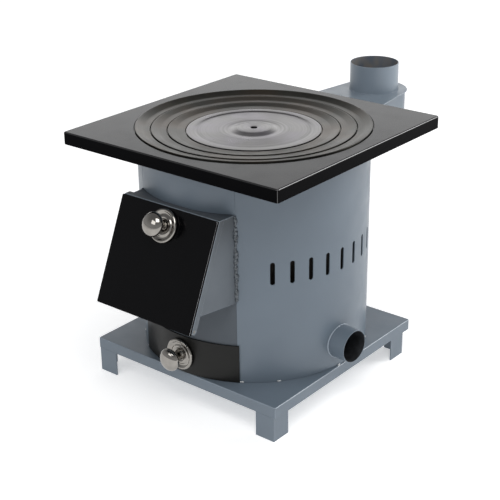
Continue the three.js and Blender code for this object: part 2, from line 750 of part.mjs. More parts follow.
function flueCollar() {
  const low = flueTop + GAP;
  return tubeWall(COLLAR_RADIUS, COLLAR_SHEET, low, low + COLLAR_HEIGHT, MIDDLE_ROUND)
    .translate(0, FLUE_REACH, 0);
}

// ---------------------------------------------------------------- hob plate, rings and lid
function topPlate() {
  const pan = foldedPan({
    size: PLATE_SIZE,
    top: HOB_HEIGHT,
    skirt: PLATE_SKIRT,
    sheet: PLATE_SHEET,
    corner: PLATE_CORNER,
    fold: PLATE_FOLD,
  });
  const opening = disc(HOB_OPENING_RADIUS, HOB_HEIGHT - PLATE_SKIRT, HOB_HEIGHT + PLATE_SHEET, ROUND);
  // the opening's edge is pressed down into a ledge that carries the outer ring
  const shoulder = HOB_OPENING_RADIUS + PLATE_SHEET;
  const ledge = turned([
    [HOB_OPENING_RADIUS - HOB_LEDGE_WIDTH, hobLedgeBottom],
    [shoulder, hobLedgeBottom],
    [shoulder, HOB_HEIGHT - PLATE_SHEET / 2],
    [HOB_OPENING_RADIUS, HOB_HEIGHT - PLATE_SHEET / 2],
    [HOB_OPENING_RADIUS, hobLedgeTop],
    [HOB_OPENING_RADIUS - HOB_LEDGE_WIDTH, hobLedgeTop],
  ], ROUND);
  return joined(cut(pan, opening), ledge);
}

// one ring: a seated edge, a slope that falls inwards, a flat lip, and a lower ledge for the next piece
function hobRing(outerRadius, innerRadius, top) {
  const lip = top - RING_DROP;
  const seat = lip - RING_EDGE - GAP;
  const slopeEnd = innerRadius + RING_LIP;
  const under = seat - RING_LEDGE;
  return turned([
    [innerRadius - RING_SEAT, under],
    [slopeEnd, under],
    [outerRadius - HOB_LEDGE_WIDTH, top - RING_EDGE],
    [outerRadius, top - RING_EDGE],
    [outerRadius, top - RING_CHAMFER],
    [outerRadius - RING_CHAMFER, top],
    [slopeEnd, lip],
    [innerRadius, lip],
    [innerRadius, seat],
    [innerRadius - RING_SEAT, seat],
  ], ROUND);
}

// the lid: a flat rim, a step down to the panel, a shallow groove and a raised boss with the lifter hole
function hobLid(outerRadius, top) {
  const panel = top - LID_STEP;
  const rimInside = outerRadius - LID_RIM;
  const [grooveOut, grooveFloorOut, grooveFloorIn, grooveIn] = LID_GROOVE_RADII;
  const [bossFoot, bossShoulder] = LID_BOSS_RADII;
  const floor = panel - LID_GROOVE_DEPTH;
  const body = panel - LID_THICKNESS;
  return turned([
    [LIFTER_HOLE_RADIUS, body + LID_BOSS_HEIGHT],
    [bossShoulder, body + LID_BOSS_HEIGHT],
    [bossFoot + RING_EDGE, body - LID_GROOVE_DEPTH],
    [grooveOut, body - LID_GROOVE_DEPTH],
    [rimInside - RING_EDGE, body],
    [outerRadius - RING_SEAT - RING_CLEARANCE, top - RING_EDGE],
    [outerRadius, top - RING_EDGE],
    [outerRadius, top - RING_CHAMFER],
    [outerRadius - RING_CHAMFER, top],
    [rimInside, top],
    [rimInside - LID_STEP, panel],
    [grooveOut, panel],
    [grooveFloorOut, floor],
    [grooveFloorIn, floor],
    [grooveIn, panel],
    [bossFoot, panel + LID_BOSS_SHOULDER],
    [bossShoulder, panel + LID_BOSS_HEIGHT],
    [LIFTER_HOLE_RADIUS, panel + LID_BOSS_HEIGHT],
  ], ROUND);
}

// ---------------------------------------------------------------- assembly
const stove = new THREE.Group();

function add(name, geometry, material, parent = stove) {
  const mesh = new THREE.Mesh(geometry, material);
  mesh.name = name;
  parent.add(mesh);
  return mesh;
}

add('base_plate', basePlate(), greyPaint());
const footSide = BASE_SIZE / 2 - FOOT_SIDE_INSET;
for (const [side, sign] of [['left', -1], ['right', 1]]) {
  add(`foot_front_${side}`, frontFoot(-sign), greyPaint()).position.set(sign * footSide, -BASE_SIZE / 2, 0);
  add(`foot_rear_${side}`, footAngle(-sign, -1), greyPaint())
    .position.set(sign * footSide, BASE_SIZE / 2 - FOOT_REAR_INSET, 0);
  add(`chute_side_${side}`, chuteSide(sign), greyPaint());
  add(`drawer_runner_${side}`, drawerRunner(sign), plainSteel());
}

add('drum_shell', drumShell(), greyPaint());
add('front_panel_upper', frontPanelUpper(), greyPaint());
add('front_panel_lower', frontPanelLower(), greyPaint());
add('fire_pot', firePot(), firedSteel());
add('pot_flange', potFlange(), firedSteel());
add('grate_seat', grateSeat(), firedSteel());
add('pot_support_ring', potSupportRing(), firedSteel());
add('grate', grate(), castIron());
add('air_tube', airTube(), greyPaint());

add('chute_roof', chuteRoof(), greyPaint());
add('chute_floor', chuteFloor(), greyPaint());
add('mouth_frame', mouthFrame(), greyPaint());
add('door_stop', doorStop(), greyPaint());

const door = new THREE.Group();
door.applyMatrix4(doorOrigin);
stove.add(door);
add('door_panel', doorPanel(), blackPaint(), door);
add('door_hinge_pin', hingePin(), plainSteel(), door).position.set(0, -hingeDrop, -hingeSetback);
for (const [side, sign] of [['left', -1], ['right', 1]]) {
  add(`door_knuckle_${side}`, doorKnuckle(), blackPaint(), door)
    .position.set(sign * HINGE_KNUCKLE_OFFSET, -hingeDrop, -hingeSetback);
}
const doorGrip = DOOR_SHEET + GAP;
add('door_rosette', rosette(), nickel(), door).position.y = -DOOR_KNOB_DROP;
add('door_knob', knob(doorGrip + NUT_THICKNESS), nickel(), door).position.y = -DOOR_KNOB_DROP;
add('door_knob_nut', nut(), plainSteel(), door).position.set(0, -DOOR_KNOB_DROP, -doorGrip);

const drawerHandle = new THREE.Group();
drawerHandle.rotation.x = Math.PI / 2;
drawerHandle.position.set(0, -drawerFace, drawerKnobHeight);
stove.add(drawerHandle);
const drawerGrip = DRAWER_FRONT_SHEET + GAP + TRAY_SHEET + GAP;
add('drawer_front', drawerFront(), charcoalPaint());
add('ash_tray', ashTray(), plainSteel());
add('drawer_rosette', rosette(), nickel(), drawerHandle);
add('drawer_knob', knob(drawerGrip + NUT_THICKNESS), nickel(), drawerHandle);
add('drawer_knob_nut', nut(), plainSteel(), drawerHandle).position.z = -drawerGrip;

add('flue_box_wall', flueBoxWall(), greyPaint());
add('flue_box_floor', flueBoxFloor(), greyPaint());
add('flue_box_lid', flueBoxLid(), greyPaint());
add('flue_collar', flueCollar(), greyPaint());

add('top_plate', topPlate(), blackPaint());
let ringOuter = HOB_OPENING_RADIUS - RING_CLEARANCE;
let ringTop = outerRingTop;
RING_NAMES.forEach((name, i) => {
  add(name, hobRing(ringOuter, RING_RADII[i], ringTop), castIron());
  ringOuter = RING_RADII[i] - RING_CLEARANCE;
  ringTop -= RING_DROP;
});
add('hob_lid', hobLid(ringOuter, ringTop), groundIron());

// the origin is the middle of the stove's footprint box, on the floor
const extent = new THREE.Box3().setFromObject(stove, true);
const middle = extent.getCenter(new THREE.Vector3());
const part = new THREE.Group();
stove.position.set(-middle.x, -middle.y, 0);
part.add(stove);

export default part;
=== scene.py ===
# %% [markdown]
# # A small cooking stove, dressed for its portrait
# The imported model gives every sheet, ring and knob of the stove its place and size. This file
# dresses it: finer rings and knobs, rounded sheet edges, weld beads, paint, bare iron and nickel.
# Every cell makes one piece or one finish, and prints what it made. The first line loads the
# measured model, whose part boxes give the dressed pieces their places and sizes.

# %% Load the measured stove
import math
import random
import bpy
from mathutils import Matrix, Vector


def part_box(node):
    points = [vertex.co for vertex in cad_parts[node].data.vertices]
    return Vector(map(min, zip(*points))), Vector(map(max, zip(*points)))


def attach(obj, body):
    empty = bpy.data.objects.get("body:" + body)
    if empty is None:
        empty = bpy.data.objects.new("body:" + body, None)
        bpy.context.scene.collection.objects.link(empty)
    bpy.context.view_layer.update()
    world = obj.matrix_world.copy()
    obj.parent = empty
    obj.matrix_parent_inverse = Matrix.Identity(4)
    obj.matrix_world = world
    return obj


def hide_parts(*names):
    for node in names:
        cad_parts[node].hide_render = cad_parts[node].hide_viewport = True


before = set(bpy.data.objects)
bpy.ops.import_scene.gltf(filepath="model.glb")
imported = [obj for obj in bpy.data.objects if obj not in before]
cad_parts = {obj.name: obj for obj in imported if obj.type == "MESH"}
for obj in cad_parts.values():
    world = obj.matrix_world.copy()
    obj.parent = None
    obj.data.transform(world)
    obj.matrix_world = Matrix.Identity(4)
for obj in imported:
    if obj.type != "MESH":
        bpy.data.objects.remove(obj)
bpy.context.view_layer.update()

# %% [markdown]
# ## The camera
# The photograph looks at the stove from its front right, a little above, through a longish lens.
# A camera could be aimed with a constraint, but its measured place, angles and lens are simply
# written down, so that the picture lines up with the photograph.

# %% Place the camera
CAMERA_PLACE = Vector((1.3455, -1.7407, 1.1785))
CAMERA_AZIMUTH = math.radians(39.2824)
CAMERA_ELEVATION = math.radians(23.6117)
CAMERA_ROLL = math.radians(-0.6992)
CAMERA_LENS, CAMERA_SENSOR = 86.139, 36  # millimetres

bpy.ops.object.camera_add()
camera = bpy.context.object
camera.name = "portrait_camera"
camera.data.sensor_width = CAMERA_SENSOR
camera.data.lens = CAMERA_LENS
camera.data.clip_start = 0.05
camera.matrix_world = (
    Matrix.Translation(CAMERA_PLACE)
    @ Matrix.Rotation(CAMERA_AZIMUTH, 4, "Z")
    @ Matrix.Rotation(math.pi / 2 - CAMERA_ELEVATION, 4, "X")
    @ Matrix.Rotation(CAMERA_ROLL, 4, "Z")
)
bpy.context.scene.camera = camera
print("lens", camera.data.lens, "mm")

# %% [markdown]
# ## Colours and nodes
# A picked screen colour is sRGB, while the renderer adds up light in linear steps, so one
# function turns a hex code into linear numbers. A second one adds a shader node: it sets what
# it is told to, and links every input that is handed another node's socket. A Mix node keeps
# the sockets of all its kinds in one row, so the numbers of the ones used here get names.

# %% Helpers for finishes
SHARE, NUMBER_A, NUMBER_B, TONE_A, TONE_B = 0, 2, 3, 6, 7  # inputs of a Mix node
MIXED_NUMBER, MIXED_TONE = 0, 2                            # and its outputs


def linear(hex_code):
    """Linear RGBA of an sRGB hex colour."""
    steps = [int(hex_code[i:i + 2], 16) / 255 for i in (1, 3, 5)]
    tone = [s / 12.92 if s <= 0.04045 else ((s + 0.055) / 1.055) ** 2.4 for s in steps]
    return (*tone, 1.0)


def add_node(tree, kind, inputs=None, **settings):
    """Add one shader node with its settings, and its inputs as values or as links."""
    made = tree.nodes.new("ShaderNode" + kind)
    for name, value in settings.items():
        setattr(made, name, value)
    for name, value in (inputs or {}).items():
        if isinstance(value, bpy.types.NodeSocket):
            tree.links.new(value, made.inputs[name])
        else:
            made.inputs[name].default_value = value
    return made


def start_finish(name):
    """A new material, its empty node tree, and the socket that gives a point's place in metres."""
    material = bpy.data.materials.new(name)
    material.use_nodes = True
    tree = material.node_tree
    tree.nodes.clear()
    return material, tree, add_node(tree, "TexCoord").outputs["Object"]


def close_finish(tree, inputs):
    """The surface shader, and the output that it feeds."""
    shader = add_node(tree, "BsdfPrincipled", inputs)
    add_node(tree, "OutputMaterial", {"Surface": shader.outputs["BSDF"]})


print("mid grey #808080 is", round(linear("#808080")[0], 3), "in linear light")

# %% [markdown]
# ## The studio
# The stove stands in a plain, pale room of soft light. The floor is one large matt sheet, with
# a little glow of its own that keeps it white. The sky is a pale grey, half as strong overhead
# as low down, which alone would make the stove flat. So four soft panels shape it: one behind,
# whose reflection lifts the black hob plate to grey, one at the right, which rolls a light edge
# down the drum, one high in front, which lights the top and the floor, and a weak one at the
# left front, which fills the knobs and the drawer.

# %% Floor, sky and soft panels
FLOOR_GLOW = 0.45
SKY_GLOW_LOW, SKY_GLOW_HIGH = 0.52, 0.26
STOVE_MIDDLE = Vector((0, 0, 0.25))


def pale_floor():
    """One large sheet of matt white."""
    bpy.ops.object.select_all(action="DESELECT")
    bpy.ops.mesh.primitive_plane_add(size=40)
    floor = bpy.context.object
    floor.name = "studio_floor"
    material, tree, place = start_finish("matt_white_floor")
    blend_share = add_node(tree, "TexNoise", {"Vector": place, "Scale": 0.8, "Detail": 2.0})
    tone = add_node(tree, "Mix", {
        SHARE: blend_share.outputs["Fac"], TONE_A: linear("#f4f4f4"), TONE_B: linear("#f8f8f8"),
    }, data_type="RGBA")
    close_finish(tree, {
        "Base Color": tone.outputs[MIXED_TONE], "Roughness": 0.9, "Specular IOR Level": 0.1,
        "Emission Color": linear("#ffffff"), "Emission Strength": FLOOR_GLOW,
    })
    floor.data.materials.append(material)


def soft_panel(name, place, width, height, power):
    """A large area light that faces the middle of the stove and is not seen itself."""
    bpy.ops.object.light_add(type="AREA", location=place)
    panel = bpy.context.object
    panel.name = name
    panel.data.shape = "RECTANGLE"
    panel.data.size = width
    panel.data.size_y = height
    panel.data.energy = power
    aim = STOVE_MIDDLE - Vector(place)
    panel.rotation_euler = aim.to_track_quat("-Z", "Y").to_euler()
    panel.visible_camera = False
    return panel


pale_floor()
sky = bpy.data.worlds.new("studio_sky")
bpy.context.scene.world = sky
sky.use_nodes = True
sky.node_tree.nodes.clear()
direction = add_node(sky.node_tree, "TexCoord").outputs["Generated"]
rise = add_node(sky.node_tree, "SeparateXYZ", {"Vector": direction})
glow = add_node(sky.node_tree, "MapRange", {
    "Value": rise.outputs["Z"], "From Min": 0.1, "From Max": 0.8,
    "To Min": SKY_GLOW_LOW, "To Max": SKY_GLOW_HIGH,
}, interpolation_type="SMOOTHSTEP")
background = add_node(sky.node_tree, "Background", {
    "Color": linear("#f7f8fa"), "Strength": glow.outputs["Result"],
})
add_node(sky.node_tree, "OutputWorld", {"Surface": background.outputs["Background"]})
bpy.context.scene.view_settings.view_transform = "Standard"
panels = [  # name, place, width and height in metres, power in watts
    soft_panel("panel_behind", (-2.47, 3.02, 1.6), 5.0, 1.6, 30),
    soft_panel("panel_right", (2.05, 2.45, 1.6), 1.6, 2.2, 56),
    soft_panel("panel_front", (1.4, -1.8, 3.3), 2.4, 1.6, 55),
    soft_panel("panel_left", (-0.3, -3.3, 2.3), 1.8, 1.2, 16),
]
print("panels", [panel.name for panel in panels])

# %% [markdown]
# ## Stove paint
# The drum, tray, chute and flue box wear a heat-cured grey-blue paint, sprayed on sheet steel.
# It is half glossy: broad soft highlights, no mirror. Sprayed paint is never quite even, so its
# tone drifts over about a hand's width, and its skin has a fine orange peel. The real peel is
# near 1 mm and would vanish at this size, so it is drawn about 3 mm wide.
# Each tin could have its own recipe, but only tones, gloss and peel differ, so one recipe makes
# them all. Two things can be added to it: a darker tone towards the top of the chute, which is
# painted shade under the hob plate, and a weaker shine on upright faces, which is painted shade
# that keeps the sides of the black parts dark. Some tins are darker or lighter copies of the grey,
# as painted shade and painted light.

# %% Sprayed paint
TONE_PATCH, HANDLED_PATCH, ORANGE_PEEL = 0.09, 0.035, 0.003  # metres from one patch to the next
PEEL_DEPTH = 0.0004
TOP_SHADE_TONE = "#2c2e30"


def sprayed_paint(name, tones, gloss, level, peel, upright=None, top_shade=None):
    """Heat-cured paint: drifting tone, uneven gloss and a faint peel.

    upright: the shine of faces that stand upright, where it is weaker than level: painted shade,
    set by which way a face looks.
    The darkening towards the top, painted shade under the hob plate: the heights where it starts
    and ends, and how much of it there is at the end.
    """
    material, tree, place = start_finish(name)
    # Upright faces get a weaker shine than level ones: painted shade, set by which way a face
    # looks.
    if upright is not None:
        normal = add_node(tree, "TexCoord").outputs["Normal"]
        facing = add_node(tree, "SeparateXYZ", {"Vector": normal})
        level = add_node(tree, "MapRange", {
            "Value": facing.outputs["Z"], "From Min": 0.0, "From Max": 0.35,
            "To Min": upright, "To Max": level,
        }).outputs["Result"]
    drift = add_node(tree, "TexNoise", {"Vector": place, "Scale": 1 / TONE_PATCH, "Detail": 3.0})
    tone = add_node(tree, "Mix", {
        SHARE: drift.outputs["Fac"], TONE_A: linear(tones[0]), TONE_B: linear(tones[1]),
    }, data_type="RGBA")
    coat = tone.outputs[MIXED_TONE]
    # Darker towards the top: painted shade under the hob plate, mixed in by height.
    if top_shade:
        height = add_node(tree, "SeparateXYZ", {"Vector": place})
        blend_share = add_node(tree, "MapRange", {
            "Value": height.outputs["Z"],
            "From Min": top_shade[0], "From Max": top_shade[1], "To Max": top_shade[2],
        }, interpolation_type="SMOOTHSTEP")
        coat = add_node(tree, "Mix", {
            SHARE: blend_share.outputs["Result"], TONE_A: coat, TONE_B: linear(TOP_SHADE_TONE),
        }, data_type="RGBA").outputs[MIXED_TONE]
    handling = add_node(tree, "TexNoise", {
        "Vector": place, "Scale": 1 / HANDLED_PATCH, "Detail": 4.0,
    })
    rough = add_node(tree, "MapRange", {
        "Value": handling.outputs["Fac"], "From Min": 0.3, "From Max": 0.7,
        "To Min": gloss[0], "To Max": gloss[1],
    })
    skin = add_node(tree, "TexNoise", {"Vector": place, "Scale": 1 / ORANGE_PEEL, "Detail": 1.0})
    bump = add_node(tree, "Bump", {
        "Height": skin.outputs["Fac"], "Strength": peel, "Distance": PEEL_DEPTH,
    })
    close_finish(tree, {
        "Base Color": coat,
        "Roughness": rough.outputs["Result"],
        "Specular IOR Level": level,
        "Normal": bump.outputs["Normal"],
    })
    return material


# Drum, tray and feet: broad, soft highlights on an even grey-blue.
grey_paint = sprayed_paint(
    "semi_gloss_grey_stove_paint", ("#5f6a75", "#66727d"), (0.34, 0.46), 0.5, 0.12)
# Chute and mouth frame: duller and browner, and darker from the middle upwards, which is painted
# shade under the hob plate.
chute_paint = sprayed_paint(
    "dull_grey_stove_paint", ("#565c62", "#60676e"), (0.42, 0.55), 0.35, 0.12,
    top_shade=(0.32, 0.445, 0.7))
# The chute's roof and the drum's front below the chute: dulled, and darkened all over as painted
# shade, under the hob plate and under the chute.
shade_darkened_paint = sprayed_paint(
    "shade_darkened_dull_grey_stove_paint", ("#4a5056", "#545a61"), (0.46, 0.60), 0.25, 0.12)
# Folds and sheared edges: a lighter, glossier grey, a painted highlight that draws the thin light
# lines round each sheet.
grey_highlight_paint = sprayed_paint(
    "grey_stove_paint_painted_highlight", ("#828d98", "#8c97a1"), (0.22, 0.30), 0.9, 0.04)
# The flue box's lid and the collar: a lighter copy of the grey, painted light that stands in for
# the stronger light they get above the hob.
lit_grey_paint = sprayed_paint(
    "painted_light_grey_flue_paint", ("#75818c", "#7e8994"), (0.30, 0.42), 0.5, 0.12)
# Hob plate and door: gloss black that mirrors the panel from above; upright faces get a far weaker
# shine, painted shade that keeps them deep black.
black_paint = sprayed_paint(
    "gloss_black_stove_paint", ("#040405", "#070709"), (0.10, 0.20), 0.12, 0.05, upright=0.015)
# The hob plate's folds: a lighter, glossier black, a painted highlight that draws a fine grey line
# round the black.
black_highlight_paint = sprayed_paint(
    "black_stove_paint_painted_highlight", ("#0b0b0c", "#111112"), (0.14, 0.22), 1.0, 0.02)
# The drawer front: a dark, soft satin.
charcoal_paint = sprayed_paint(
    "satin_charcoal_stove_paint", ("#161615", "#1c1c1b"), (0.30, 0.42), 0.2, 0.1)
print("paints", [paint.name for paint in (
    grey_paint, chute_paint, shade_darkened_paint, grey_highlight_paint, lit_grey_paint, black_paint, black_highlight_paint,
    charcoal_paint)])

# %% [markdown]
# ## Turned cast iron
# The hob rings are grey cast iron, faced on a lathe. The tool leaves fine circles, and cast
# iron keeps a dull olive grey between them. The circles could be modelled, but they are only
# hundredths of a millimetre deep, so a noise that reads nothing but the distance from the
# hob's middle draws them. Real marks lie 0.3 mm apart; here they are about 3 mm apart, so that
# they show. A second such noise, 30 mm wide, is the wear of pans in broad circles. A cloudy one
# stains the iron, and another tints it in patches where it has been hot. The lid gets the same
# in a brighter, smoother form, because pans have polished it.

# %% Iron with turning marks
lid_low, lid_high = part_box("hob_lid")
AXIS = Vector(((lid_low.x + lid_high.x) / 2, (lid_low.y + lid_high.y) / 2, 0))
WEAR_CIRCLE, MARK_DEPTH = 0.03, 0.0004  # metres


def turned_iron(name, tones, heat, gloss, mark, stain):
    """Lathe-faced iron: circles about the hob's middle, over slow stains and heat's patches."""
    material, tree, place = start_finish(name)
    centred = add_node(tree, "Mapping", {"Vector": place, "Location": -AXIS, "Scale": (1, 1, 0)})
    flat_place = centred.outputs["Vector"]
    reach = add_node(tree, "VectorMath", {"Vector": flat_place}, operation="LENGTH")
    marks = add_node(tree, "TexNoise", {
        "W": reach.outputs["Value"], "Scale": 1 / mark, "Detail": 2.0,
    }, noise_dimensions="1D")
    clouds = add_node(tree, "TexNoise", {"Vector": place, "Scale": 1 / stain, "Detail": 4.0})
    wear = add_node(tree, "TexNoise", {
        "W": reach.outputs["Value"], "Scale": 1 / WEAR_CIRCLE, "Detail": 1.0,
    }, noise_dimensions="1D")
    circles = add_node(tree, "Mix", {
        SHARE: 0.6, NUMBER_A: marks.outputs["Fac"], NUMBER_B: wear.outputs["Fac"],
    })
    both = add_node(tree, "Mix", {
        SHARE: 0.4, NUMBER_A: circles.outputs[MIXED_NUMBER], NUMBER_B: clouds.outputs["Fac"],
    })
    spread = add_node(tree, "MapRange", {
        "Value": both.outputs[MIXED_NUMBER], "From Min": 0.35, "From Max": 0.65,
    })
    tone = add_node(tree, "Mix", {
        SHARE: spread.outputs["Result"], TONE_A: linear(tones[0]), TONE_B: linear(tones[1]),
    }, data_type="RGBA")
    patches = add_node(tree, "TexNoise", {"Vector": place, "Scale": 0.7 / stain, "Detail": 2.0})
    tinted = add_node(tree, "MapRange", {
        "Value": patches.outputs["Fac"], "From Min": 0.42, "From Max": 0.64,
        "To Min": 0.0, "To Max": 0.65,
    })
    aged = add_node(tree, "Mix", {
        SHARE: tinted.outputs["Result"], TONE_A: tone.outputs[MIXED_TONE], TONE_B: linear(heat),
    }, data_type="RGBA")
    rough = add_node(tree, "MapRange", {
        "Value": clouds.outputs["Fac"], "From Min": 0.3, "From Max": 0.7,
        "To Min": gloss[0], "To Max": gloss[1],
    })
    bump = add_node(tree, "Bump", {
        "Height": marks.outputs["Fac"], "Strength": 0.25, "Distance": MARK_DEPTH,
    })
    outwards = add_node(tree, "VectorMath", {"Vector": flat_place}, operation="NORMALIZE")
    close_finish(tree, {
        "Base Color": aged.outputs[MIXED_TONE],
        "Metallic": 1.0,
        "Roughness": rough.outputs["Result"],
        "Anisotropic": 0.35,
        "Tangent": outwards.outputs["Vector"],
        "Normal": bump.outputs["Normal"],
    })
    return material


# Rings and grate: a dull, dark olive grey with fine circles.
cast_iron = turned_iron(
    "turned_cast_iron", ("#3d3c38", "#4c4b46"), "#564c42", (0.32, 0.42), 0.003, 0.06)
# Lid: bright grey, smoother, with a faint violet bloom where it has been hottest.
ground_iron = turned_iron(
    "pan_polished_iron", ("#565554", "#8a8887"), "#78747b", (0.27, 0.37), 0.004, 0.045)
print("irons", cast_iron.name, ground_iron.name)

# %% [markdown]
# ## Nickel, bare steel, soot and weld
# The knobs and their rosettes are nickel-plated and buffed to a mirror, faintly warm. Runners,
# nuts, the hinge pin and the ash tray are cold-rolled steel, with the straight streaks of the
# rolls. The fire pot and its rings have been hot: dark, brownish, dull, with lighter ash. What
# makes these look alike is one uneven noise in tone, gloss and bump, and only the rolled steel
# draws it out into streaks. So the same recipe also gives the near black inside the air tube, which
# is painted shade, the soot in the collar, the bright steel on the door's right edge, which is a
# painted highlight, the bare tacks, and the weld beads, whose dark tone is painted shade.

# %% Nickel, rolled steel, soot and weld
BUFFED_PATCH, GRAIN_DEPTH = 0.012, 0.0003  # metres


def buffed_nickel():
    """Mirror plating with the slightest unevenness from the buffing wheel."""
    material, tree, place = start_finish("buffed_nickel_plate")
    buff = add_node(tree, "TexNoise", {"Vector": place, "Scale": 1 / BUFFED_PATCH, "Detail": 3.0})
    tone = add_node(tree, "Mix", {
        SHARE: buff.outputs["Fac"], TONE_A: linear("#878480"), TONE_B: linear("#a39f99"),
    }, data_type="RGBA")
    rough = add_node(tree, "MapRange", {
        "Value": buff.outputs["Fac"], "From Min": 0.3, "From Max": 0.7,
        "To Min": 0.05, "To Max": 0.14,
    })
    close_finish(tree, {
        "Base Color": tone.outputs[MIXED_TONE],
        "Metallic": 1.0,
        "Roughness": rough.outputs["Result"],
    })
    return material


def sheet_steel(name, tones, gloss, metal, streak, grain):
    """Uneven steel, soot or weld; a streak below 1 draws the noise out from front to back."""
    material, tree, place = start_finish(name)
    drawn = add_node(tree, "Mapping", {"Vector": place, "Scale": (1, streak, 1)})
    lines = add_node(tree, "TexNoise", {
        "Vector": drawn.outputs["Vector"], "Scale": 1 / grain, "Detail": 4.0,
    })
    spread = add_node(tree, "MapRange", {
        "Value": lines.outputs["Fac"], "From Min": 0.3, "From Max": 0.7,
    })
    tone = add_node(tree, "Mix", {
        SHARE: spread.outputs["Result"], TONE_A: linear(tones[0]), TONE_B: linear(tones[1]),
    }, data_type="RGBA")
    rough = add_node(tree, "MapRange", {
        "Value": lines.outputs["Fac"], "From Min": 0.3, "From Max": 0.7,
        "To Min": gloss[0], "To Max": gloss[1],
    })
    bump = add_node(tree, "Bump", {
        "Height": lines.outputs["Fac"], "Strength": 0.15, "Distance": GRAIN_DEPTH,
    })
    close_finish(tree, {
        "Base Color": tone.outputs[MIXED_TONE],
        "Metallic": metal,
        "Roughness": rough.outputs["Result"],
        "Normal": bump.outputs["Normal"],
    })
    return material


nickel = buffed_nickel()
# Tray, runners, nuts and pin: a plain mid grey, streaked from front to back. Real streaks are a
# few tenths of a millimetre wide; these are 2 mm, so that they show.
rolled_steel = sheet_steel(
    "cold_rolled_steel", ("#73726f", "#8a8987"), (0.32, 0.5), 1.0, 0.08, 0.002)
# Fire pot: brown-black scale with lighter clouds of ash, no shine.
burnt_steel = sheet_steel("burnt_steel", ("#2b2724", "#4a4642"), (0.6, 0.85), 0.4, 1.0, 0.02)
# Tacks that were never painted: small bright dots.
bare_weld = sheet_steel("bare_tack_weld", ("#a5a7a8", "#d6d8d9"), (0.25, 0.4), 1.0, 1.0, 0.002)
# Inside of the air tube: near black, painted shade in the tube. Inside of the flue collar: a thin
# grey film over paint.
tube_inside_shade = sheet_steel("painted_shade_tube_inside", ("#141619", "#2a2d31"), (0.5, 0.7), 0.0, 1.0, 0.012)
flue_soot = sheet_steel("sooted_flue", ("#5b646f", "#74706c"), (0.45, 0.65), 0.0, 1.0, 0.02)
# The door's right edge: bare bright steel on its right-facing rounds only, a painted highlight: a
# thin bright line.
highlight_edge_steel = sheet_steel("painted_highlight_bare_steel_edge", ("#808183", "#b4b5b7"), (0.3, 0.45), 1.0, 1.0, 0.004)
# Chute beads: glossy paint that catches the light on each lump, in a dark tone that is painted
# shade of the bead.
shaded_weld_paint = sheet_steel("painted_shade_weld_bead", ("#34383c", "#636a70"), (0.14, 0.28), 0.0, 1.0, 0.004)
print("metals", [metal.name for metal in (nickel, rolled_steel, burnt_steel, bare_weld, highlight_edge_steel)])

# %% [markdown]
# ## Tools for the pieces
# New pieces are made the way a person would at the screen: a primitive is added, its faces and
# edges are picked by where they lie, and edit operators shape it. An operator acts on whatever
# is selected, and the loaded model starts out selected, so every helper first lets go of all.

# %% Picking and modifiers
def pick(*things):
    """Select only these objects, with the first one active."""
    bpy.ops.object.select_all(action="DESELECT")
    for thing in things:
        thing.select_set(True)
    bpy.context.view_layer.objects.active = things[0]


def choose(piece, kind, test):
    """Go to edit mode with only the vertices, edges or faces that pass the test selected."""
    pick(piece)
    bpy.ops.object.mode_set(mode="EDIT")
    bpy.ops.mesh.select_mode(type=kind)
    bpy.ops.mesh.select_all(action="DESELECT")
    bpy.ops.object.mode_set(mode="OBJECT")
    mesh = piece.data
    parts = {"VERT": mesh.vertices, "EDGE": mesh.edges, "FACE": mesh.polygons}[kind]
    for part in parts:
        part.select = test(part)
    bpy.ops.object.mode_set(mode="EDIT")


def leave():
    """Back to object mode, where the mesh holds what edit mode did."""
    bpy.ops.object.mode_set(mode="OBJECT")


def everywhere(_):
    """The test that every part passes."""
    return True


def apply_modifier(piece, kind, **settings):
    """Add one modifier and make it part of the mesh."""
    pick(piece)
    made = piece.modifiers.new(kind.lower(), kind)
    for name, value in settings.items():
        setattr(made, name, value)
    bpy.ops.object.modifier_apply(modifier=made.name)


# %% [markdown]
# ## Rounds, shells and coats
# The same few jobs come up on every piece: edges get a small round, a shell is merged and
# turned the right way out, rolled sheet is given the smooth light of a true cylinder, and some
# faces get a finish of their own. Shading alone could smooth the drum, but beside a cut-out it
# leaves streaks, so there the true directions are written into the mesh.

# %% Rounds, shells and coats
SAME_SPOT = 2e-6      # metres: vertices nearer than this are one
ON_THE_WALL = 0.0004  # metres: a corner this near to a wall's radius lies on it


def two_slots(piece):
    """Room for a second finish, which the rounds of folds and edges take."""
    while len(piece.data.materials) < 2:
        piece.data.materials.append(None)


def round_edges(piece, width, segments=2, angle=30, finish=-1):
    """Sheet and cast edges are never knife sharp; a small round catches the light."""
    apply_modifier(piece, "BEVEL", width=width, segments=segments, limit_method="ANGLE",
                   angle_limit=math.radians(angle), use_clamp_overlap=True, material=finish)


def heal(piece):
    """Merge doubled vertices and turn the faces outwards."""
    choose(piece, "VERT", everywhere)
    bpy.ops.mesh.remove_doubles(threshold=SAME_SPOT)
    bpy.ops.mesh.normals_make_consistent(inside=False)
    leave()


def round_about_axis(piece, radii):
    """Give the faces of rolled sheet the true normals of their cylinder about the drum's axis."""
    mesh = piece.data
    normals = [Vector(corner.vector) for corner in mesh.corner_normals]
    for face in mesh.polygons:
        across = Vector((face.center.x - AXIS.x, face.center.y - AXIS.y, 0)).normalized()
        facing = across.dot(face.normal)
        if abs(facing) < 0.99:  # an edge of the sheet, or its end
            continue
        for corner in face.loop_indices:
            spot = mesh.vertices[mesh.loops[corner].vertex_index].co
            away = Vector((spot.x - AXIS.x, spot.y - AXIS.y, 0))
            if any(abs(away.length - radius) < ON_THE_WALL for radius in radii):
                normals[corner] = away.normalized() * math.copysign(1, facing)
    mesh.normals_split_custom_set([tuple(normal) for normal in normals])


def coat_inside(piece, finish, foot, line):
    """Give the faces that look towards a tube's middle line a finish of their own."""
    two_slots(piece)
    piece.data.materials[1] = finish
    for face in piece.data.polygons:
        away = face.center - foot
        away -= line * away.dot(line)
        if face.normal.dot(away.normalized()) < -0.8:
            face.material_index = 1


print("the hob's middle is at", [round(v, 4) for v in AXIS[:2]])
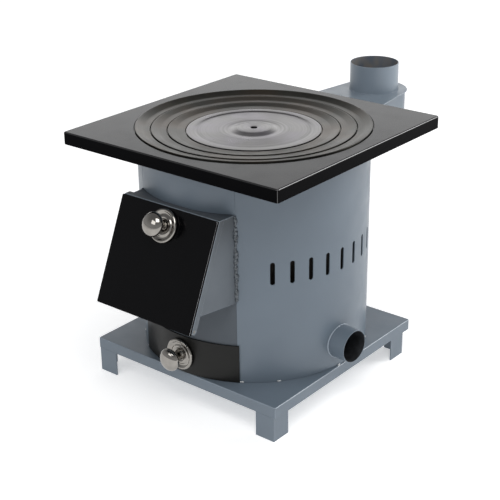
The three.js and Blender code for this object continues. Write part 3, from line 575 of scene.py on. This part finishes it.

# %% [markdown]
# ## Settling a piece
# A shaped piece still has to become part of the stove. Its place goes into its mesh, faces that
# meet gently shade as one, and flat faces are kept flat beside their small rounds. Then it gets its
# finish and the body that it moves with, and the nodes that it stands for are hidden.

# %% Settle a piece
def settle(piece, finish, body, nodes=(), angle=30, flat=True):
    """Finish a piece. With two finishes, faces marked 1 take the second."""
    pick(piece)
    bpy.ops.object.transform_apply(location=True, rotation=True, scale=True)
    bpy.ops.object.shade_smooth_by_angle(angle=math.radians(angle))
    if flat:
        apply_modifier(piece, "WEIGHTED_NORMAL", mode="FACE_AREA", weight=100, keep_sharp=True)
    finishes = finish if isinstance(finish, tuple) else (finish,)
    marks = [min(face.material_index, len(finishes) - 1) for face in piece.data.polygons]
    piece.data.materials.clear()
    for one in finishes:
        piece.data.materials.append(one)
    piece.data.polygons.foreach_set("material_index", marks)
    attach(piece, body)
    if nodes:
        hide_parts(*nodes)
    print(piece.name, len(piece.data.polygons), "faces")


print("finishes to give", len(bpy.data.materials))

# %% [markdown]
# ## Folded and cut sheet
# Most of the stove is folded sheet whose measured shape is already right, but whose edges are
# knife sharp. Real sheared and folded steel has a small round there, which is what draws the
# thin bright lines in the photograph. So each such node is copied, its loose triangles are
# merged, flat neighbours are joined, and its edges get a small round.

# %% Round the edges of the sheet pieces
FLAT_WITHIN = math.radians(0.6)
DRUM_WALL = (0.2195, 0.2175)  # outer and inner radius of the rolled sheet
# Darker and lighter copies of the grey stand in for light: the chute's roof and the drum's front
# below the chute take painted shade, the flue box's lid painted light.
SHEET_PAINTS = {
    "foot_front_left": grey_paint, "foot_front_right": grey_paint,
    "foot_rear_left": grey_paint, "foot_rear_right": grey_paint,
    "front_panel_upper": grey_paint, "front_panel_lower": shade_darkened_paint,
    "chute_side_left": chute_paint, "chute_side_right": chute_paint,
    "chute_roof": shade_darkened_paint, "chute_floor": chute_paint,
    "mouth_frame": chute_paint, "door_stop": grey_paint,
    "flue_box_wall": grey_paint, "flue_box_floor": grey_paint, "flue_box_lid": lit_grey_paint,
}


def dressed(node, finish, body, width=0.0005, segments=2):
    """A merged, edge-rounded copy of a node, whose rounds take the second of two finishes."""
    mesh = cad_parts[node].data.copy()
    piece = bpy.data.objects.new(node + "_dressed", mesh)
    bpy.context.scene.collection.objects.link(piece)
    choose(piece, "VERT", everywhere)
    bpy.ops.mesh.remove_doubles(threshold=SAME_SPOT)
    bpy.ops.mesh.dissolve_limited(angle_limit=FLAT_WITHIN)
    leave()
    if isinstance(finish, tuple):
        two_slots(piece)
    round_edges(piece, width, segments, finish=1 if isinstance(finish, tuple) else -1)
    settle(piece, finish, body, [node])
    return piece


for node, paint in SHEET_PAINTS.items():
    if node.startswith("front_panel"):
        panel = dressed(node, paint, "stove")
        round_about_axis(panel, DRUM_WALL)
    else:
        # Their rounds take the lighter fold paint, a painted highlight.
        dressed(node, (paint, grey_highlight_paint), "stove")

# %% [markdown]
# ## Fire pot, drawer and door
# The rest of the plain pieces are rounded in the same way, each with the finish of the real one. A
# cast grate has fatter edges than sheet, and a thin tray has finer ones. The door has a wider
# round, whose right edge is bright bare steel, a painted highlight: the rounds all take that
# finish, and those that don't look to the right are painted black again.

# %% Round the edges of fire pot, drawer and door
for node in ("fire_pot", "pot_flange", "grate_seat", "pot_support_ring"):
    dressed(node, burnt_steel, "stove", 0.0004)
dressed("grate", cast_iron, "stove", 0.0008)
for node in ("drawer_runner_left", "drawer_runner_right"):
    dressed(node, rolled_steel, "stove", 0.0003)
dressed("ash_tray", rolled_steel, "ash_drawer", 0.0002)
dressed("drawer_front", charcoal_paint, "ash_drawer")
dressed("drawer_knob_nut", rolled_steel, "ash_drawer")
door = dressed("door_panel", (black_paint, highlight_edge_steel), "fuel_door", 0.001, 3)
# Only the rounds that look to the right keep the bright steel: a painted highlight on that edge.
for face in door.data.polygons:
    if face.normal.x < 0.3:
        face.material_index = 0
dressed("door_knuckle_left", black_paint, "fuel_door", 0.0003)
dressed("door_knuckle_right", black_paint, "fuel_door", 0.0003)
dressed("door_knob_nut", rolled_steel, "fuel_door")
dressed("door_hinge_pin", rolled_steel, "fuel_door")

# %% [markdown]
# ## Turned pieces
# Rings, lid, knobs, rosettes and tubes are all round about one line. A cylinder could be inset
# and pulled into shape, but a turner thinks in outlines: half of the section is walked point by
# point with extrude, starting from one vertex, and spin sweeps it about the line. The seam is
# merged, and the outside is found again, because spin can leave a shape inside out.

# %% Walk an outline and spin it
MM = 0.001
UP = Vector((0, 0, 1))


def turned(name, outline, foot, line, steps, closed=True):
    """Spin an outline of (radius, height) pairs in millimetres about a line through foot."""
    line = line.normalized()
    side = UP.cross(line)
    side = side.normalized() if side.length > 0.01 else Vector((1, 0, 0))
    corners = [foot + (side * r + line * h) * MM for r, h in outline]
    if closed:
        corners.append(corners[0])
    bpy.ops.object.select_all(action="DESELECT")
    bpy.ops.mesh.primitive_plane_add(size=0.01)
    piece = bpy.context.object
    piece.name = piece.data.name = name
    choose(piece, "VERT", everywhere)
    bpy.ops.mesh.merge(type="CENTER")
    bpy.ops.transform.translate(value=corners[0])
    for here, there in zip(corners, corners[1:]):
        bpy.ops.mesh.extrude_region_move(TRANSFORM_OT_translate={"value": there - here})
    bpy.ops.mesh.select_all(action="SELECT")
    bpy.ops.mesh.remove_doubles(threshold=SAME_SPOT)
    bpy.ops.mesh.select_all(action="SELECT")
    bpy.ops.mesh.spin(steps=steps, angle=math.tau, center=foot, axis=line)
    leave()
    heal(piece)
    return piece


HOB_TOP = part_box("top_plate")[1].z * 1000  # millimetres, as in the outlines
HOB_STEPS = 256                            # sides of the hob's circles, too many to see
print("hob face at", round(HOB_TOP, 2), "mm")

# %% [markdown]
# ## The hob rings and the lid
# Three cast rings nest in each other and a lid closes the middle. Each ring starts with a
# raised rim, falls inwards down a steep slope, ends in a flat lip, and steps down to the ledge
# that carries the next piece. That stair of slopes and lips is what makes the dark and light
# circles. The lid is nearly flat, with shallow pressed circles and a low boss round its hole.

# %% Turn the rings and the lid
RINGS = {  # name: outer and inner radius, height of the rim and of the lip
    "hob_ring_outer": (221.8, 194.0, HOB_TOP + 2.4, HOB_TOP - 4.2),
    "hob_ring_middle": (192.0, 163.0, HOB_TOP - 3.2, HOB_TOP - 7.6),
    "hob_ring_inner": (161.0, 128.4, HOB_TOP - 6.7, HOB_TOP - 10.7),
}
for name, (outer, inner, rim, lip) in RINGS.items():
    cad_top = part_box(name)[1].z * 1000
    seat, under = cad_top - 3.5, cad_top - 9.8  # what lies on the ledge outside, and the bottom
    ring = turned(name + "_turned", [
        (inner - 8, under), (inner + 8.5, under), (outer - 12, seat), (outer, seat),
        (outer, rim - 0.3), (outer - 1, rim), (outer - 3, rim - 0.25), (outer - 14, lip + 0.9),
        (outer - 17.5, lip + 0.2), (inner + 6, lip), (inner + 1.5, lip), (inner + 0.3, lip - 0.5),
        (inner, lip - 1.2), (inner, under + 3), (inner - 8, under + 3),
    ], AXIS, UP, HOB_STEPS)
    round_edges(ring, 0.0004)
    settle(ring, cast_iron, name + "_body", [name])
lid_top = HOB_TOP - 9.8
lid = turned("hob_lid_turned", [(radius, lid_top + rise) for radius, rise in (
    (6.3, -2.7), (29, -2.7), (36.5, -5.9), (78, -5.9), (106, -4.9), (117, -2.7),
    (125.8, -2.7), (126.4, -0.4), (125.6, 0), (112, -0.1), (110.5, -1.3), (104, -1.35),
    (90, -1.25), (76, -0.6), (68, -0.7), (62, -0.25), (55, -0.4), (50, -0.9), (46, -1.2),
    (42, -0.6), (34, 1.5), (30, 2.1), (25, 2.3), (12, 2.4), (7.2, 2.2), (6.3, 1.6),
)], AXIS, UP, HOB_STEPS)
settle(lid, ground_iron, "hob_lid_body", ["hob_lid"], 40)
print("lid rim at", round(lid_top, 2), "mm")

# %% [markdown]
# ## The hob plate and the base tray
# Both are square pans folded from one sheet: a flat top and a skirt folded down all round. A cube
# gives the outside. Its bottom face goes, its upright corners and the fold get their rounds with
# bevel, and solidify gives the sheet its thickness. The middle of each fold's round and each
# upright corner are marked for the lighter fold finish, a painted highlight. The hob's round
# opening is cut with a fine cylinder, and a pressed ledge under it carries the outer ring.

# %% Fold the two pans
def folded_pan(name, node, sheet, corner, fold):
    """A square pan, open below, in the box of the node that it stands for."""
    low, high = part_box(node)
    bpy.ops.object.select_all(action="DESELECT")
    bpy.ops.mesh.primitive_cube_add(size=1, location=(low + high) / 2, scale=high - low)
    piece = bpy.context.object
    piece.name = piece.data.name = name
    bpy.ops.object.transform_apply(location=True, rotation=True, scale=True)
    two_slots(piece)

    def heights(edge):
        return [piece.data.vertices[v].co.z for v in edge.vertices]

    choose(piece, "FACE", lambda face: face.normal.z < -0.9)
    bpy.ops.mesh.delete(type="FACE")
    leave()
    choose(piece, "EDGE", lambda edge: max(heights(edge)) - min(heights(edge)) > 0.001)
    bpy.ops.mesh.bevel(offset=corner, segments=5, affect="EDGES")
    leave()
    choose(piece, "EDGE", lambda edge: min(heights(edge)) > high.z - 1e-5)
    bpy.ops.mesh.bevel(offset=fold, segments=4, affect="EDGES")
    leave()
    # Fold rounds and upright corners take the lighter fold paint: a painted highlight.
    for face in piece.data.polygons:
        lean = face.normal
        on_corner = abs(lean.z) < 0.1 and abs(abs(lean.x) - abs(lean.y)) < 0.3
        face.material_index = int(on_corner or 0.3 < lean.z < 0.9)
    apply_modifier(piece, "SOLIDIFY", thickness=sheet, offset=-1, use_even_offset=True)
    return piece


def cut_away(piece, cutter):
    """Boolean difference, after which the cutter is gone."""
    apply_modifier(piece, "BOOLEAN", object=cutter, operation="DIFFERENCE", solver="EXACT")
    bpy.data.objects.remove(cutter)


def round_cutter(radius, middle, line, length, vertices=HOB_STEPS):
    """A cylinder along a line, to cut a hole with."""
    bpy.ops.object.select_all(action="DESELECT")
    turn = line.to_track_quat("Z", "Y").to_euler()
    bpy.ops.mesh.primitive_cylinder_add(
        vertices=vertices, radius=radius, depth=length, location=middle, rotation=turn)
    return bpy.context.object


hob_plate = folded_pan("hob_plate", "top_plate", sheet=0.0025, corner=0.004, fold=0.0027)
hob_middle = Vector((AXIS.x, AXIS.y, HOB_TOP / 1000))
cut_away(hob_plate, round_cutter(0.224, hob_middle, UP, 0.02))
ledge = turned("hob_ledge", [
    (212, HOB_TOP - 8.3), (226.5, HOB_TOP - 8.3), (226.5, HOB_TOP - 1.2), (224.1, HOB_TOP - 1.2),
    (224, HOB_TOP - 5.8), (212, HOB_TOP - 5.8),
], AXIS, UP, HOB_STEPS)
apply_modifier(hob_plate, "BOOLEAN", object=ledge, operation="UNION", solver="EXACT")
bpy.data.objects.remove(ledge)
round_edges(hob_plate, 0.0004, angle=40)
settle(hob_plate, (black_paint, black_highlight_paint), "stove", ["top_plate"])

base_tray = folded_pan("base_tray", "base_plate", sheet=0.002, corner=0.003, fold=0.0022)
round_edges(base_tray, 0.0003, angle=40)
settle(base_tray, (grey_paint, grey_highlight_paint), "stove", ["base_plate"])

# %% [markdown]
# ## Cutters for the drum
# The drum is one rolled sheet, open in front where the chute and the ash drawer pass, with a
# row of upright air slots round each side. Its openings are told by an angle from straight
# ahead, as on a marking-out drawing. A slot could be cut as a box with rounded ends, but a
# cylinder that points outwards and is stretched upright has them already. Twenty of these are
# joined, so that one cut opens all the slots.

# %% Places and cutters round the drum
SLOT_ANGLES = [47 + 9.55 * i for i in range(10)]  # degrees, and the same on the left
SLOT_RADIUS, SLOT_HEIGHT, SLOT_STRETCH = 0.0045, 0.290, 0.0175


def outward(angle):
    """The level direction at an angle from straight ahead, in degrees."""
    turn = math.radians(angle)
    return Vector((math.sin(turn), -math.cos(turn), 0))


def around(angle, radius, height):
    """The point in that direction at a distance from the drum's middle."""
    turn = math.radians(angle)
    return Vector((AXIS.x + radius * math.sin(turn), AXIS.y - radius * math.cos(turn), height))


def block_cutter(corners, low, high):
    """A block over four plan corners about the drum's middle, in metres, between two heights."""
    bpy.ops.object.select_all(action="DESELECT")
    bpy.ops.mesh.primitive_cube_add(size=2)
    block = bpy.context.object
    for vertex in block.data.vertices:
        right, rear, upper = (c > 0 for c in vertex.co)
        x, y = corners[right + 2 * rear]
        vertex.co = (AXIS.x + x, AXIS.y + y, high if upper else low)
    return block


def slot_cutters():
    """An upright cutter with round ends at every slot's place, all joined into one."""
    cutters = []
    for angle in SLOT_ANGLES + [-a for a in SLOT_ANGLES]:
        middle = around(angle, DRUM_WALL[0], SLOT_HEIGHT)
        cutter = round_cutter(SLOT_RADIUS, middle, outward(angle), 0.02, 32)
        bpy.ops.object.transform_apply(location=True, rotation=True, scale=True)
        choose(cutter, "VERT", lambda vertex: vertex.co.z > SLOT_HEIGHT + 1e-5)
        bpy.ops.transform.translate(value=(0, 0, SLOT_STRETCH))
        leave()
        choose(cutter, "VERT", lambda vertex: vertex.co.z < SLOT_HEIGHT - 1e-5)
        bpy.ops.transform.translate(value=(0, 0, -SLOT_STRETCH))
        leave()
        cutters.append(cutter)
    pick(*cutters)
    bpy.ops.object.join()
    return cutters[0]


print("slots on each side", len(SLOT_ANGLES))

# %% [markdown]
# ## The drum
# A fine cylinder without ends is given the sheet's thickness, and the openings are cut out: the
# front, the slots, the hole for the air tube, and the gap at the back where the flue box starts,
# with a wider cut at its top for the lid's edges.

# %% Roll the drum and cut its openings
FRONT_HALF = 0.1098                    # half the width of the front opening
TUBE_ANGLE, TUBE_HEIGHT = 85, 0.121    # where the air tube stands
FLUE_NEAR, FLUE_FAR = 0.0979, 0.0868   # half the flue box's width in front of the wall and behind
LID_EDGE, LID_CUT = 0.0041, 0.0023     # how far its lid stands out, and the depth of that cut
PLAY = 0.0003                          # the cut stands off the flue box by this much
drum_low, drum_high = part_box("drum_shell")
flue_low, flue_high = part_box("flue_box_floor")[0].z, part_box("flue_box_lid")[1].z


def flue_cutter(edge, low, high):
    """A block that tapers as the flue box does, wider by an edge on each side."""
    near, far = FLUE_NEAR + edge, FLUE_FAR + edge
    return block_cutter([(-near, 0.15), (near, 0.15), (-far, 0.25), (far, 0.25)], low, high)


bpy.ops.object.select_all(action="DESELECT")
bpy.ops.mesh.primitive_cylinder_add(
    vertices=240, radius=DRUM_WALL[0], depth=drum_high.z - drum_low.z, end_fill_type="NOTHING",
    location=(AXIS.x, AXIS.y, (drum_low.z + drum_high.z) / 2))
drum = bpy.context.object
drum.name = drum.data.name = "drum_rolled"
bpy.ops.object.transform_apply(location=True, rotation=True, scale=True)
apply_modifier(drum, "SOLIDIFY", thickness=DRUM_WALL[0] - DRUM_WALL[1], offset=-1)
cut_away(drum, block_cutter(
    [(-FRONT_HALF, -0.4), (FRONT_HALF, -0.4), (-FRONT_HALF, 0), (FRONT_HALF, 0)], 0, 0.6))
cut_away(drum, slot_cutters())
tube_middle = around(TUBE_ANGLE, 0.2, TUBE_HEIGHT)
cut_away(drum, round_cutter(0.0323, tube_middle, outward(TUBE_ANGLE), 0.1, 96))
cut_away(drum, flue_cutter(0, flue_low - PLAY, flue_high + PLAY))
cut_away(drum, flue_cutter(LID_EDGE, flue_high - LID_CUT, flue_high + PLAY))
round_edges(drum, 0.0003, angle=40)
settle(drum, grey_paint, "stove", ["drum_shell"])
round_about_axis(drum, DRUM_WALL)

# %% [markdown]
# ## Air tube and flue collar
# Two short lengths of tube, cut square, with a slightly rounded rim that catches the light. A
# cylinder could be thickened as the drum was, but a wall of four corners is quickly spun. The faces
# that look inwards then get a finish of their own: near black in the air tube, which is painted
# shade, and a film of soot in the collar.

# %% Turn the two tubes
def tube_wall(inner, outer, length):
    """The four corners of a tube's wall, in millimetres."""
    return [(inner, 0), (outer, 0), (outer, length), (inner, length)]


tube_foot = around(TUBE_ANGLE, 0.2115, TUBE_HEIGHT)
tube_line = outward(TUBE_ANGLE)
tube = turned("air_tube_turned", tube_wall(30.5, 32, 42.5), tube_foot, tube_line, 128)
round_edges(tube, 0.0005, 3)
settle(tube, grey_paint, "stove", ["air_tube"])
coat_inside(tube, tube_inside_shade, tube_foot, tube_line)

collar_low, collar_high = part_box("flue_collar")
collar_foot = (collar_low + collar_high) / 2
collar_foot.z = collar_low.z
collar = turned("flue_collar_turned", tube_wall(49, 50.5, 57), collar_foot, UP, 160)
round_edges(collar, 0.0005, 3)
settle(collar, lit_grey_paint, "stove", ["flue_collar"])
coat_inside(collar, flue_soot, collar_foot, UP)

# %% [markdown]
# ## Knobs and rosettes
# Each handle is a mushroom knob on a slim neck, over a pressed rosette with a rolled rim. Both
# are turned from one outline and used twice: on the leaning door and on the drawer. The knob's
# outline starts and ends on its own line, so it is left open and spin closes it.

# %% Turn the knobs and rosettes
ROSETTE = [
    (3.4, 0.3), (29, 0.3), (30.4, 1.2), (31, 2.8), (30.9, 4.4), (30.2, 5.7), (29.2, 6.6),
    (28, 7), (26.8, 6.7), (25.6, 5.6), (24.2, 4.1), (22.6, 3.1), (21, 2.9), (19.6, 3.5),
    (18.2, 4.6), (16.8, 5.3), (15.4, 5.4), (14, 4.8), (12.8, 3.6), (11.8, 2.7), (10.8, 2.45),
    (3.4, 2.45),
]
DOOR_LEAN = math.radians(23.6)
KNOB_DOWN = 0.034  # metres from the door's upper edge down its face to the knob


def dome(radius, low, high, steps):
    """Points over a dome from its rim to just short of its top."""
    turns = [math.pi / 2 * i / steps for i in range(steps)]
    return [(radius * math.cos(turn), low + (high - low) * math.sin(turn)) for turn in turns]


def knob_outline(through):
    """Half of a knob, with a stud that goes through its panel by so many millimetres."""
    return [
        (0, -through), (3, -through), (3, 2.75), (11, 2.75), (10.7, 3.8), (9.4, 5.75),
        (8.2, 10), (7.6, 15), (7.6, 19), (8.6, 21.5), (11.2, 23.6), (15, 25), (18.6, 25.9),
        (20, 27), (21.4, 28.6), (22.1, 30),
    ] + dome(22.3, 31, 44, 12) + [(0, 44)]


door_line = Vector((0, -math.cos(DOOR_LEAN), math.sin(DOOR_LEAN)))
door_middle = Vector((AXIS.x, AXIS.y - 0.240, 0.4074))
door_middle += Vector((0, -math.sin(DOOR_LEAN), -math.cos(DOOR_LEAN))) * KNOB_DOWN
drawer_middle = Vector((AXIS.x, AXIS.y - 0.2228, 0.109))
for part, place, line, body, through in (
    ("door", door_middle, door_line, "fuel_door", 7.3),
    ("drawer", drawer_middle, Vector((0, -1, 0)), "ash_drawer", 10.1),
):
    disc = turned(part + "_rosette_pressed", ROSETTE, place, line, 96)
    settle(disc, nickel, body, [part + "_rosette"], 40, False)
    grip = turned(part + "_knob_turned", knob_outline(through), place, line, 96, closed=False)
    settle(grip, nickel, body, [part + "_knob"], 40, False)

# %% [markdown]
# ## Weld beads
# The chute is welded to the drum by hand: a lumpy bead, one puddle beside the next, painted darker
# than the drum as painted shade. The beads round the air tube and the collar are finer, and painted
# lighter, as painted light. A bead could be a bumpy tube, but puddles overlap, so each bead is a
# row of small balls, no two alike, melted into one skin by a voxel remesh. Where the drum meets the
# base there are only tacks, still bare and bright.

# %% Lay the welds
def weld(name, path, size, finish, seed, voxel=0.0007, rough=0.12):
    """Overlapping puddles along a path, melted together; rough is how far they stray."""
    chance = random.Random(seed)
    bpy.ops.object.select_all(action="DESELECT")
    bpy.ops.mesh.primitive_ico_sphere_add(subdivisions=2, radius=size, location=(0, 0, 0))
    bead = bpy.context.object
    bead.name = bead.data.name = name
    choose(bead, "VERT", everywhere)
    bpy.ops.transform.translate(value=path[0])
    grown, here = 1, path[0]
    for step in path[1:]:
        there = step + Vector([chance.uniform(-rough, rough) * size for _ in range(3)])
        bpy.ops.mesh.duplicate_move(TRANSFORM_OT_translate={"value": there - here})
        wanted = chance.uniform(1 - 2 * rough, 1 + 1.6 * rough)
        bpy.ops.transform.resize(value=[wanted / grown] * 3, center_override=there)
        grown, here = wanted, there
    leave()
    apply_modifier(bead, "REMESH", mode="VOXEL", voxel_size=voxel)
    settle(bead, finish, "stove", angle=80, flat=False)


def steps_between(start, end, spacing):
    """Evenly spaced points from start to end."""
    count = max(1, round((end - start).length / spacing))
    return [start.lerp(end, i / count) for i in range(count + 1)]


for side, sign in (("left", -1), ("right", 1)):
    x, y = AXIS.x + sign * 0.1103, AXIS.y - 0.1908
    seam = steps_between(Vector((x, y, 0.240)), Vector((x, y, 0.400)), 0.0042)
    weld("chute_weld_" + side, seam, 0.0040, shaded_weld_paint, 5 + sign, rough=0.24)

# %% [markdown]
# ## Fine beads and tacks
# The bead round the air tube follows the line where the tube leaves the round drum, so each of
# its points is dropped on to the drum's wall. The collar's is a plain circle on the flue's lid.

# %% Lay the fine beads and the tacks
TUBE_BEAD, COLLAR_BEAD = 0.0328, 0.0510  # radius of each bead's circle
TUBE_PUDDLES, COLLAR_PUDDLES = 104, 200
BEAD_WALL, TACK_WALL, TACK_HEIGHT = 0.2197, 0.2202, 0.0722  # distances from the axis, and height

tube_side = Vector((-tube_line.y, tube_line.x, 0))
tube_root = []
for i in range(TUBE_PUDDLES):
    turn = math.tau * i / TUBE_PUDDLES
    height = TUBE_HEIGHT + TUBE_BEAD * math.sin(turn)
    across = TUBE_BEAD * math.cos(turn)
    depth = math.sqrt(BEAD_WALL ** 2 - across ** 2)
    tube_root.append(Vector((AXIS.x, AXIS.y, height)) + tube_line * depth + tube_side * across)
# The tube's bead takes the lighter fold paint: a painted highlight.
weld("air_tube_weld", tube_root, 0.0017, grey_highlight_paint, 11, rough=0.14)

collar_turns = [math.tau * i / COLLAR_PUDDLES for i in range(COLLAR_PUDDLES)]
collar_root = [
    collar_foot + Vector((COLLAR_BEAD * math.cos(turn), COLLAR_BEAD * math.sin(turn), 0))
    for turn in collar_turns
]
# The collar's bead takes the lighter flue paint: painted light.
weld("flue_collar_weld", collar_root, 0.0014, lit_grey_paint, 12)

for i, angle in enumerate((32, 50, 84, 118, 242, 276, 310, 328)):
    start = around(angle - 0.6, TACK_WALL, TACK_HEIGHT)
    end = around(angle + 0.6, TACK_WALL, TACK_HEIGHT)
    tack = steps_between(start, end, 0.002)
    weld("base_tack_%d" % (i + 1), tack, 0.0018, bare_weld, 20 + i, 0.0005)
